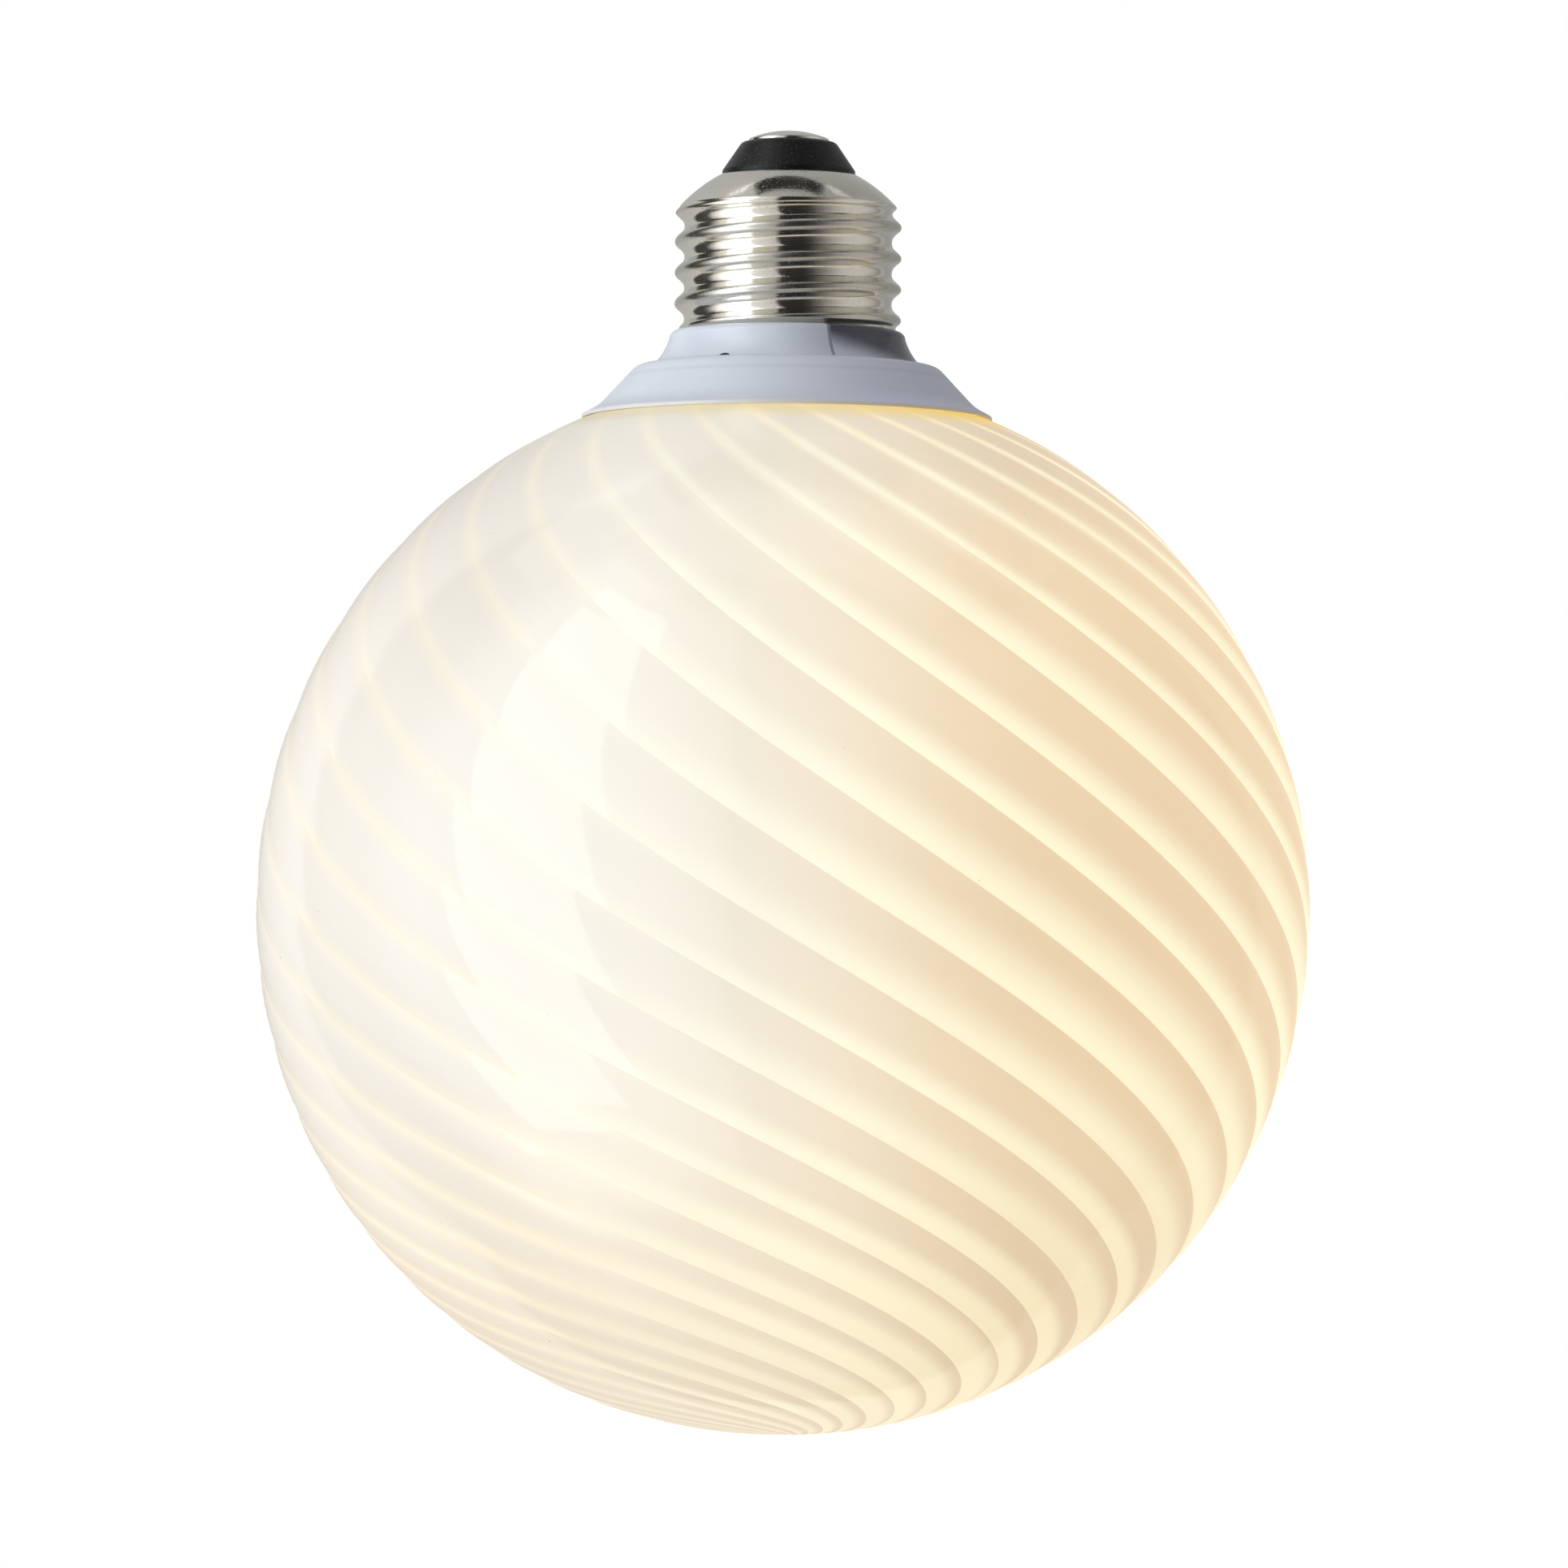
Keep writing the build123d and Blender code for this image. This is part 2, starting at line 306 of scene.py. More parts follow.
def turned(outline, columns):
    """Grid of points of an outline turned about Z, with columns that run counter-clockwise seen from above."""
    around = np.arange(columns) * (2 * math.pi / columns)
    radius, height = outline[:, :1], outline[:, 1:]
    return np.stack(np.broadcast_arrays(radius * np.cos(around), radius * np.sin(around), height), axis=-1)


# Meshes from grids of points

def grid_mesh(name, points, closed):
    """Mesh of a grid whose rows run down the outside and whose columns close round the axis.

    A closed grid's last row joins its first. An open one ends in two fans about points on the axis.
    """
    rows, columns = points.shape[:2]
    row = np.arange(rows if closed else rows - 1)[:, None]
    column = np.arange(columns)[None, :]
    below, after = (row + 1) % rows, (column + 1) % columns
    corners = (
        row * columns + column, below * columns + column, below * columns + after, row * columns + after
    )
    quads = np.stack(np.broadcast_arrays(*corners), axis=-1).reshape(-1, 4)
    vertices = points.reshape(-1, 3)
    loops, sizes = quads.ravel(), np.full(len(quads), 4)
    if not closed:
        around = np.arange(columns)
        ahead = (around + 1) % columns
        top, foot = len(vertices), len(vertices) + 1
        last = (rows - 1) * columns
        top_fan = np.stack((np.full(columns, top), around, ahead), axis=1)
        foot_fan = np.stack((np.full(columns, foot), last + ahead, last + around), axis=1)
        poles = np.stack((points[0].mean(axis=0), points[-1].mean(axis=0)))
        vertices = np.concatenate((vertices, poles))
        loops = np.concatenate((loops, top_fan.ravel(), foot_fan.ravel()))
        sizes = np.concatenate((sizes, np.full(2 * columns, 3)))
    mesh = bpy.data.meshes.new(name)
    mesh.vertices.add(len(vertices))
    mesh.vertices.foreach_set("co", vertices.astype(np.float32).ravel())
    mesh.loops.add(len(loops))
    mesh.loops.foreach_set("vertex_index", loops.astype(np.int32))
    mesh.polygons.add(len(sizes))
    mesh.polygons.foreach_set("loop_start", (np.cumsum(sizes) - sizes).astype(np.int32))
    mesh.update(calc_edges=True)
    mesh.shade_smooth()
    if mesh.validate():
        raise ValueError(f"{name} has faces that aren't valid")
    return mesh


def add_piece(mesh, node, material):
    """Shows a mesh in place of a node, as a piece of the bulb's one body."""
    piece = bpy.data.objects.new(mesh.name, mesh)
    bpy.context.scene.collection.objects.link(piece)
    mesh.materials.append(material)
    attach(piece, "root")
    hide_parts(node)
    return piece


# Shader sums

class Signal:
    """An output of a shader node that takes part in Python sums: each operator adds a Math node behind it."""

    def __init__(self, finish, socket):
        self.finish, self.socket = finish, socket

    def math(self, operation, *operands):
        """Math node of an operation on these operands."""
        return self.finish.node("ShaderNodeMath", {"operation": operation}, dict(enumerate(operands)))

    def __add__(self, other):
        return self.math("ADD", self, other)

    def __sub__(self, other):
        return self.math("SUBTRACT", self, other)

    def __mul__(self, other):
        return self.math("MULTIPLY", self, other)

    def __truediv__(self, other):
        return self.math("DIVIDE", self, other)

    def __pow__(self, other):
        return self.math("POWER", self, other)

    def __rsub__(self, other):
        return self.math("SUBTRACT", other, self)

    def __rtruediv__(self, other):
        return self.math("DIVIDE", other, self)

    def __abs__(self):
        return self.math("ABSOLUTE", self)

    __radd__, __rmul__ = __add__, __mul__

    def rise(self, low, high):
        """Smooth step from 0 where this is low to 1 where it is high."""
        ends = {"Value": self, "From Min": low, "From Max": high}
        return self.finish.node("ShaderNodeMapRange", {"interpolation_type": "SMOOTHSTEP"}, ends)


class Finish:
    """A node tree under construction, for a material or the world."""

    def __init__(self, owner):
        owner.use_nodes = True
        self.tree = owner.node_tree
        self.tree.nodes.clear()

    @staticmethod
    def pick(sockets, key):
        """Socket of a number, or the first one in use that has a name."""
        if isinstance(key, int):
            return sockets[key]
        return next(socket for socket in sockets if socket.name == key and not socket.is_unavailable)

    def node(self, kind, settings=None, inputs=None, output=0):
        """Adds a node of a kind, sets its settings and then its sockets, and gives one of its outputs."""
        node = self.tree.nodes.new(kind)
        for name, value in (settings or {}).items():
            setattr(node, name, value)
        for key, value in (inputs or {}).items():
            socket = self.pick(node.inputs, key)
            if isinstance(value, Signal):
                self.tree.links.new(value.socket, socket)
            else:
                socket.default_value = value
        return Signal(self, self.pick(node.outputs, output)) if node.outputs else None

    def place(self):
        """Object coordinates: the point itself and its three parts."""
        point = self.node("ShaderNodeTexCoord", output="Object")
        parts = [self.node("ShaderNodeSeparateXYZ", {}, {0: point}, output) for output in range(3)]
        return point, *parts

    def noise(self, point, scale, detail):
        """Soft noise about 0.5 of so many lumps a metre."""
        return self.node("ShaderNodeTexNoise", {}, {"Vector": point, "Scale": scale, "Detail": detail})

    def stretch(self, point, scales):
        """A point with its three parts scaled."""
        return self.node("ShaderNodeVectorMath", {"operation": "MULTIPLY"}, {0: point, 1: scales})

    def mix(self, factor, first, second):
        """Colour between two colours."""
        ends = {"Factor": factor, "A": rgba(first), "B": rgba(second)}
        return self.node("ShaderNodeMix", {"data_type": "RGBA"}, ends, "Result")

    def tint(self, tone, level):
        """Colour scaled by a level."""
        return self.node("ShaderNodeVectorMath", {"operation": "SCALE"}, {0: tone, "Scale": level})

    def plus(self, first, second):
        """Sum of two colours."""
        return self.node("ShaderNodeVectorMath", {"operation": "ADD"}, {0: first, 1: second})

    def bump(self, height, distance, strength=1.0):
        """Normal of a surface that stands up by a height from 0 to 1 times a distance."""
        return self.node("ShaderNodeBump", {}, {"Height": height, "Distance": distance, "Strength": strength})

    def surface(self, inputs):
        """Principled surface with these sockets, shown by the material."""
        shader = self.node("ShaderNodeBsdfPrincipled", {}, inputs)
        self.node("ShaderNodeOutputMaterial", {}, {"Surface": shader})


def rgba(value):
    """A colour with its fourth part, or a signal as it is."""
    return value if isinstance(value, Signal) else (*value, 1.0)


def new_material(name):
    """Material with an empty tree."""
    material = bpy.data.materials.new(name)
    return material, Finish(material)


def settings():
    """The bulb's settings in the open scene."""
    return bpy.context.scene.led_bulb


# Finishes

def nickel_finish(name, base, roughness, bright_radius, shaded_radius):
    """Bright nickel plate: fine specks and rubbed marks, a soft haze in the roughness and an uneven sheet.

    From the bright radius out to the shaded one the plate grows rougher, and darker as painted shade for the
    darker reflection there.
    """
    material, finish = new_material(name)
    point, x, y, _ = finish.place()
    outer_shade = ((x * x + y * y) ** 0.5).rise(bright_radius, shaded_radius)
    haze = finish.noise(point, 220.0, 3.0)
    rubbed = finish.noise(finish.stretch(point, (900.0, 900.0, 5200.0)), 1.0, 3.0).rise(0.60, 0.72)
    specks = finish.noise(point, 3800.0, 2.0).rise(0.60, 0.68)
    worn = finish.noise(point, 900.0, 2.0).rise(0.35, 0.75)
    uneven = finish.noise(point, 320.0, 2.0)
    # Darker colour for the worn specks, and for the painted shade towards the outer radius.
    worn_and_shaded = tuple(0.45 * part for part in base)
    marks = 0.14 * rubbed * worn + 0.2 * specks * worn
    finish.surface({
        "Base Color": finish.mix(specks * worn * 0.5 + 0.45 * outer_shade, base, worn_and_shaded),
        "Metallic": 1.0,
        "Roughness": roughness + 0.12 * outer_shade + 0.06 * haze.rise(0.45, 0.8) + marks,
        "Normal": finish.bump(uneven + 0.10 * specks, 0.05 * MM, 0.6),
    })
    return material


def insulator_finish(base):
    """Black moulding: satin and slightly cloudy, with pale dust specks."""
    material, finish = new_material("black_insulator")
    point, *_ = finish.place()
    dust = finish.noise(point, 5200.0, 1.0).rise(0.67, 0.72)
    cloud = finish.noise(point, 500.0, 3.0)
    dust_grey = (0.30, 0.29, 0.27)
    finish.surface({
        "Specular IOR Level": 0.25,
        "Base Color": finish.mix(dust * 0.35 + 0.012 * cloud, base, dust_grey),
        "Roughness": 0.30 + 0.16 * cloud,
        "Normal": finish.bump(cloud, 0.04 * MM, 0.5),
    })
    return material


def gloss_plastic(colours, collar, foot):
    """Glossy white moulding with a parting line on both sides, a notch at its foot and painted shade on one
    side.

    The parting line is where the distance to a plane through the axis is near 0, and the notch is an ellipse on
    the foot, painted near-black as the shade inside it. The painted shade on the side starts at the parting
    line, clears towards the foot and ends round the back, and a fainter painted shade leads up to the line from
    the other side. The side towards +X has a painted bluish shade, and a painted shade line runs along the
    foot.
    """
    material, finish = new_material("white_gloss")
    point, x, y, height = finish.place()
    above_foot = height - foot
    parting, notch_place = collar.parting_longitude, collar.notch_longitude
    across = x * math.cos(parting) + y * math.sin(parting)
    along = x * math.sin(parting) - y * math.cos(parting)
    line = 1.0 - abs(across).rise(0.06 * MM, 0.32 * MM)
    # Painted shade: the notch is coloured near-black, as the shade inside a small slot at the foot.
    sideways = x * math.cos(notch_place) + y * math.sin(notch_place)
    front = (x * math.sin(notch_place) - y * math.cos(notch_place)).rise(0.0, 1.0 * MM)
    reach = (sideways / (0.75 * MM)) ** 2.0 + (above_foot / (0.42 * MM)) ** 2.0
    notch = (1.0 - reach.rise(0.7, 1.1)) * front
    # Painted shade on the side past the parting line, deepest at the top under the sleeve.
    shade_by_height = (above_foot + 0.26 * across).rise(0.8 * MM, 3.6 * MM)
    painted_shade_side = across.rise(-0.2 * MM, 0.3 * MM) * shade_by_height * along.rise(-2.0 * MM, 4.5 * MM)
    cloud = finish.noise(point, 260.0, 3.0)
    grime = finish.noise(point, 1500.0, 3.0).rise(0.62, 0.80)
    # Painted shade along the crevice where the housing meets the skirt.
    foot_shade = 1.0 - above_foot.rise(0.02 * MM, 0.22 * MM)
    grime_and_shade_grey, line_grey, notch_shade = (0.36, 0.36, 0.40), (0.10, 0.10, 0.13), (0.015, 0.015, 0.02)
    # Painted bluish shade towards +X.
    tone = finish.mix((x / collar.housing_top).rise(-0.4, 0.9) * 0.8, colours.plastic, colours.shaded)
    # Painted shade: a faint one leading up to the parting line, then the deep one on the side past it.
    tone = finish.mix(0.14 * across.rise(-7.0 * MM, 0.0), tone, colours.shade)
    tone = finish.mix(painted_shade_side, tone, colours.shade)
    # Grey that gives random cloud and grime, and the painted shade along the foot.
    tone = finish.mix(0.10 * cloud + 0.18 * grime + 0.35 * foot_shade, tone, grime_and_shade_grey)
    tone = finish.mix(line * 0.6, tone, line_grey)
    finish.surface({
        "Base Color": finish.mix(notch, tone, notch_shade),
        "Roughness": 0.14 + 0.10 * cloud + 0.2 * grime,
        "Normal": finish.bump(cloud * 0.25 - line - notch, 0.12 * MM, 0.7),
    })
    return material


def satin_plastic(colours, collar, top, rim):
    """Satin white moulding with a faint mould texture, a soft line of painted shade below its ledge and a warm
    glow from the glass painted on its lower rim. Its side towards +X has a painted bluish shade.
    """
    material, finish = new_material("white_satin")
    point, x, _, height = finish.place()
    grain = finish.noise(point, 2600.0, 3.0)
    cloud = finish.noise(point, 180.0, 3.0)
    grime = finish.noise(point, 1300.0, 3.0).rise(0.64, 0.82)
    # Painted light: the glass's warm glow on the rim.
    rim_glow_share = 1.0 - (height - rim).rise(0.25 * MM, 0.75 * MM)
    # Painted shade: a soft darker line where the ledge's rounding meets the flank.
    ledge_shade = 1.0 - abs(height - (top - collar.ledge_edge)).rise(0.08 * MM, 0.35 * MM)
    grime_and_shade_grey = (0.38, 0.38, 0.42)
    # Painted bluish shade towards +X.
    tone = finish.mix((x / collar.ledge_radius).rise(-0.4, 0.9) * 0.8, colours.plastic, colours.shaded)
    tone = finish.tint(tone, 1.06)
    # Grey that gives random cloud and grime, and the painted shade line below the ledge.
    tone = finish.mix(0.10 * cloud + 0.16 * grime + 0.12 * ledge_shade, tone, grime_and_shade_grey)
    finish.surface({
        "Base Color": finish.mix(rim_glow_share * 0.6, tone, colours.rim_painted_glow),
        "Roughness": 0.34 + 0.14 * cloud,
        "Normal": finish.bump(grain + cloud, 0.03 * MM, 0.5),
    })
    return material


def opal_finish(colours, globe, rim):
    """Opal glass lit from inside, put together from masks that run from 0 to 1.

    The swirl map's first part runs across a band from its lower crease, and its second part is the latitude
    as a share of a half turn. Towards the right the light is one-sided: palest above a band's lower crease, and
    deeper up to the next. At the left and near the neck a pale strip follows both sides of each crease. The
    light is weaker at the left front, near the neck and at the foot, and golden below the skirt. The key light
    that spreads through the glass to the front is added to it.
    """
    material, finish = new_material("opal_glass")
    point, x, y, height = finish.place()
    swirl = finish.node("ShaderNodeUVMap", {"uv_map": "swirl"})
    across, latitude = (finish.node("ShaderNodeSeparateXYZ", {}, {0: swirl}, part) for part in range(2))
    band_reach, band_light = (
        finish.node("ShaderNodeAttribute", {"attribute_name": name}, output="Fac")
        for name in ("band_reach", "band_light")
    )

    # Where a point lies on the globe
    rightward, away, below_rim = x / globe.radius, y / globe.radius, height - rim
    right, left = rightward.rise(-0.35, 0.55), 1.0 - rightward.rise(-0.6, -0.1)
    full = right + (1.0 - right) * away.rise(0.1, 0.9)
    low, near_neck = 1.0 - latitude.rise(0.22, 0.42), latitude.rise(0.667, 0.889)
    near_rim = below_rim.rise(-9.0 * MM, -1.0 * MM)
    under_rim = below_rim.rise(-2.2 * MM, -0.3 * MM) * (0.5 + 0.5 * full)

    # How much of the light comes through a band's thin side
    reach = (1.045 - 0.81 * latitude) * (0.7 + 0.3 * right) * band_reach
    one_sided = 1.0 - (across / reach).rise(0.4 * low, 1.0)
    both_sided = 1.0 - ((0.5 - abs(across - 0.5)) / (0.37 - 0.2 * latitude)).rise(0.0, 1.0)
    strips = left + (1.0 - left) * latitude.rise(0.66, 0.82)
    glow = (one_sided + strips * (both_sided - one_sided)) * band_light

    # The light itself
    left_level = 0.56 - 0.28 * latitude.rise(0.22, 0.46)
    level = left_level + (1.0 - 0.12 * low - left_level) * full
    thin = finish.mix(left + 0.5 * low * (1.0 - left), colours.glow_thin, colours.glow_gold)
    thin = finish.tint(finish.mix(near_rim * 0.8, thin, colours.glow_rim), 1.0 - 0.12 * near_neck)
    deep = finish.tint(colours.glow_deep, 1.0 - 0.32 * near_neck)
    light = finish.tint(finish.mix(under_rim, finish.mix(glow, deep, thin), colours.leak), level)
    spread = rightward.rise(-0.65, -0.2) * (1.0 - rightward.rise(0.0, 0.5))
    spread = spread * (0.0 - away).rise(-0.2, 0.4) * (1.0 - 0.4 * low)
    light = finish.plus(light, finish.tint(colours.scatter, spread))

    # The glass, whose bump takes back part of the bands' swell in what it mirrors
    streaks = finish.noise(finish.stretch(swirl, (14.0, 5.0, 1.0)), 1.0, 3.0)
    specks = finish.noise(point, 1500.0, 1.0).rise(0.82, 0.84)
    waves, haze = finish.noise(point, 55.0, 2.0), finish.noise(point, 90.0, 3.0)
    banded = ((x * x + y * y) ** 0.5).rise(globe.neck_radius, globe.neck_radius + globe.band_fade)
    swell = 4.0 * across * (1.0 - across) * banded
    speck_brown = (0.20, 0.15, 0.10)
    glass = finish.mix(glow * 0.8, colours.opal, colours.strip)
    glass = finish.mix(under_rim, glass, colours.leak_glass)
    finish.surface({
        "Base Color": finish.mix(specks * 0.5, glass, speck_brown),
        "Roughness": 0.03 + 0.04 * haze + 0.12 * near_neck + 0.2 * near_rim,
        "IOR": 1.5,
        "Emission Color": finish.tint(light, (0.95 + 0.10 * streaks) * (1.0 - 0.45 * specks)),
        "Emission Strength": 1.0,
        "Normal": finish.bump(0.05 * waves - 0.10 * swell, 1.0 * MM),
    })
    return material


# Pieces

def contact_outline(cap):
    """Domed plate with a flat rim, on its stem, from the tip round to the stem's end."""
    radius, foot = radius_of("centre_contact"), foot_of("centre_contact")
    seat = -cap.contact_dome - cap.contact_rim
    dome_radius = (radius**2 + cap.contact_dome**2) / (2 * cap.contact_dome)
    reach = np.linspace(0.05, 1.0, 16) * radius
    dome = np.stack((reach, np.sqrt(dome_radius**2 - reach**2) - dome_radius), axis=1)
    rest = [(radius, seat), (cap.stem_radius, seat), (cap.stem_radius, foot), (0.2 * cap.stem_radius, foot)]
    return spaced(softened(np.concatenate((dome, rest)), FIRM_EDGE, False), False, LONGEST_SIDE)


def insulator_outline(cap):
    """Cone with a rounded top edge and an upright lip, and its spigot in the sleeve."""
    foot_radius, spigot_end = radius_of("insulator"), foot_of("insulator")
    seat, sleeve_top = top_of("insulator"), top_of("screw_sleeve")
    hole = cap.stem_radius + cap.fit
    corners = [
        (hole, seat), (cap.insulator_top, seat), (foot_radius, sleeve_top + cap.insulator_lip),
        (foot_radius, sleeve_top), (cap.spigot_radius, sleeve_top), (cap.spigot_radius, spigot_end),
        (hole, spigot_end),
    ]
    reaches = (PLAIN_EDGE, cap.insulator_edge, FIRM_EDGE, INNER_EDGE, INNER_EDGE, PLAIN_EDGE, PLAIN_EDGE)
    return spaced(softened(corners, reaches, True, 7), True, LONGEST_SIDE)


def sleeve_surface(cap, columns):
    """Sleeve of rolled sheet: a bowed shoulder, and a thread whose radius changes along a helix.

    With the angle d from the crest's azimuth, which turns once in each pitch, the radius is the middle radius
    plus half of the depth times cos d + pinch (cos 2d - 1) - lean (cos 3d - cos d). The depth eases to 0 at
    both ends of the thread.
    """
    top, foot = top_of("screw_sleeve"), foot_of("screw_sleeve")
    crest = radius_of("screw_sleeve")
    middle, bore = crest - cap.thread_depth / 2, crest - cap.thread_depth - cap.sheet
    thread_top = foot + cap.thread_length
    ledge = radius_of("insulator") + cap.shoulder_ledge
    opening = cap.spigot_radius + cap.fit
    shoulder = arc((ledge, top), (middle, thread_top), cap.shoulder_bulge, 14)
    under = arc((bore, thread_top), (ledge, top - cap.sheet), -cap.shoulder_bulge, 14)
    corners = np.concatenate((
        [(opening, top)], shoulder, [(middle, foot), (bore, foot)], under, [(opening, top - cap.sheet)]
    ))
    outline = spaced(softened(corners, SHEET_EDGE, True), True, THREAD_SIDE)
    points = turned(outline, columns)
    height = outline[:, 1:] - foot
    outside = outline[:, :1] > middle - 0.02 * MM
    fade = np.clip(np.minimum(height, cap.thread_length - height) / cap.thread_runout, 0.0, 1.0)
    depth = np.where(outside, cap.thread_depth / 2 * fade**2 * (3 - 2 * fade), 0.0)
    around = np.arange(columns) * (2 * math.pi / columns)
    lead = around - cap.thread_end - 2 * math.pi * height / cap.thread_pitch
    pinch = cap.crest_pinch * (np.cos(2 * lead) - 1.0)
    lean = cap.flank_lean * (np.cos(3 * lead) - np.cos(lead))
    lift = depth * (np.cos(lead) + pinch - lean)
    points[..., 0] += lift * np.cos(around)
    points[..., 1] += lift * np.sin(around)
    return points


def housing_outline(collar):
    """Upper tier: rounded top edge, hollow flank and the tube that grips sleeve and skirt."""
    seat, foot = top_of("skirt_ring"), foot_of("neck_housing")
    foot_radius, tube_top = radius_of("neck_housing"), top_of("neck_housing")
    housing_top = foot_of("screw_sleeve")
    bore = collar.grip_radius - collar.housing_wall
    flat = (collar.housing_top - collar.housing_edge, housing_top)
    side = (collar.housing_top, housing_top - collar.housing_edge)
    round_bow = collar.housing_edge * (1 - math.sqrt(0.5))
    edge = arc(flat, side, round_bow, 8)
    flank = arc(side, (foot_radius, seat), -collar.housing_hollow, 14)
    corners = np.concatenate((
        [(bore, tube_top), (collar.grip_radius, tube_top), (collar.grip_radius, housing_top)], edge, flank[1:],
        [(collar.grip_radius, seat), (collar.grip_radius, foot), (bore, foot)],
    ))
    return spaced(softened(corners, PLAIN_EDGE, True), True, LONGEST_SIDE)


def skirt_outline(collar, globe):
    """Lower tier: flat ledge, sloping flank that flares to an upright rim, and the ring round the neck."""
    top, rim = top_of("skirt_ring"), foot_of("skirt_ring")
    rim_radius = radius_of("skirt_ring")
    hole = collar.grip_radius + collar.fit
    ceiling = top - collar.skirt_wall
    ring_inner = globe.neck_radius + collar.fit
    ring_outer = ring_inner + collar.neck_ring_wall
    ring_end = ceiling - collar.neck_ring_wall
    seat_radius = rim_radius - collar.skirt_wall
    glass_fall = globe.upper * (
        math.sqrt(1 - (seat_radius / globe.radius) ** 2) - math.sqrt(1 - (rim_radius / globe.radius) ** 2)
    )
    corners = [
        (hole, top), (collar.ledge_radius, top),
        (rim_radius - collar.flare_width, rim + collar.rim_height + collar.flare_drop),
        (rim_radius, rim + collar.rim_height), (rim_radius, rim), (seat_radius, rim + glass_fall),
        (collar.ledge_radius - collar.skirt_wall, ceiling), (ring_outer, ceiling), (ring_outer, ring_end),
        (ring_inner, ring_end), (ring_inner, ceiling), (hole, ceiling),
    ]
    outside = (PLAIN_EDGE, 0.6 * collar.ledge_edge, 0.5 * collar.flare_radius, RIM_EDGE, FIRM_EDGE)
    reaches = outside + (PLAIN_EDGE,) * (len(corners) - len(outside))
    return spaced(softened(corners, reaches, True, 9), True, SKIRT_SIDE)


def swirl_turn(globe, latitude):
    """Turn of the swirl: minus the even, spiral and lean shares times the latitude, its asinh tan and cos."""
    return -(
        globe.turn_even * latitude
        + globe.turn_spiral * np.arcsinh(np.tan(latitude))
        + globe.turn_lean * np.cos(latitude)
    )


def globe_grid(globe, rows, steps):
    """Points of the globe, and the latitude of each row.

    A row at a latitude has the radius R cos(latitude), and a height of the upper or lower height times
    sin(latitude). Its columns start at a crease, which turns with latitude, and between creases the radius
    swells by the rise times 4t(1-t), where t is the share of the band. The rise fades towards the poles. Rows
    step evenly in a latitude stretched by asinh(tan), so that they crowd towards the poles.
    """
    stretch = np.arcsinh(np.sqrt((globe.radius / np.array((globe.neck_radius, globe.spot_radius))) ** 2 - 1))
    latitude = np.arctan(np.sinh(np.linspace(stretch[0], -stretch[1], rows)))
    above = latitude > 0
    middle = foot_of("glass_globe") + globe.lower * math.sqrt(1 - (globe.spot_radius / globe.radius) ** 2)
    radius = globe.radius * np.cos(latitude)
    height = middle + np.where(above, globe.upper, globe.lower) * np.sin(latitude)
    pole_radius = np.where(above, globe.neck_radius, globe.spot_radius)
    inset = np.clip((radius - pole_radius) / globe.band_fade, 0.0, 1.0)
    rise = globe.band_rise * inset**2 * (3 - 2 * inset)
    turn = swirl_turn(globe, latitude)
    neck_rows = 4
    neck_height = np.linspace(top_of("glass_globe"), height[0], neck_rows, endpoint=False)
    radius = np.concatenate((np.full(neck_rows, globe.neck_radius), radius))
    height = np.concatenate((neck_height, height))
    rise = np.concatenate((np.zeros(neck_rows), rise))
    turn = np.concatenate((np.full(neck_rows, turn[0]), turn))
    latitude = np.concatenate((np.full(neck_rows, latitude[0]), latitude))
    columns = globe.bands * steps
    across = (np.arange(columns) % steps) / steps
    azimuth = globe.band_start + turn[:, None] + np.arange(columns) * (2 * math.pi / columns)
    reach = radius[:, None] + rise[:, None] * 4 * across * (1 - across)
    parts = np.broadcast_arrays(reach * np.cos(azimuth), reach * np.sin(azimuth), height[:, None])
    return np.stack(parts, axis=-1), latitude


def mark_swirl(mesh, globe, latitude, steps):
    """Gives the globe's mesh its swirl map, a light and a reach for each band, and sharp creases."""
    rows, columns = len(latitude), globe.bands * steps
    share_across = (np.arange(columns) % steps) / steps
    share_down = latitude / math.pi + 0.5
    u = np.stack((share_across, share_across, share_across + 1 / steps, share_across + 1 / steps), axis=-1)
    v = np.stack((share_down[:-1], share_down[1:], share_down[1:], share_down[:-1]), axis=-1)
    quads = np.stack(np.broadcast_arrays(u[None, :, :], v[:, None, :]), axis=-1).reshape(-1, 2)
    ends = np.stack((u[:, 0], u[:, 0], u[:, 2]), axis=-1)
    top_fan = np.stack((ends, np.full(ends.shape, share_down[0])), axis=-1).reshape(-1, 2)
    foot_fan = np.stack((ends[:, ::-1], np.full(ends.shape, share_down[-1])), axis=-1).reshape(-1, 2)
    layer = mesh.uv_layers.new(name="swirl")
    layer.data.foreach_set("uv", np.concatenate((quads, top_fan, foot_fan)).astype(np.float32).ravel())
    chance = np.random.default_rng(7)
    for name, low, high in (("band_reach", 0.7, 1.25), ("band_light", 0.8, 1.0)):
        value = np.repeat(chance.uniform(low, high, globe.bands), steps)
        faces = np.concatenate((np.tile(value, rows - 1), value, value))
        mesh.attributes.new(name, "FLOAT", "FACE").data.foreach_set("value", faces.astype(np.float32))
    ends = np.empty(2 * len(mesh.edges), dtype=np.int32)
    mesh.edges.foreach_get("vertices", ends)
    ends = ends.reshape(-1, 2)
    sharp = (ends % columns % steps == 0).all(axis=1) & (abs(ends[:, 0] - ends[:, 1]) == columns)
    mesh.attributes.new("sharp_edge", "BOOLEAN", "EDGE").data.foreach_set("value", sharp)


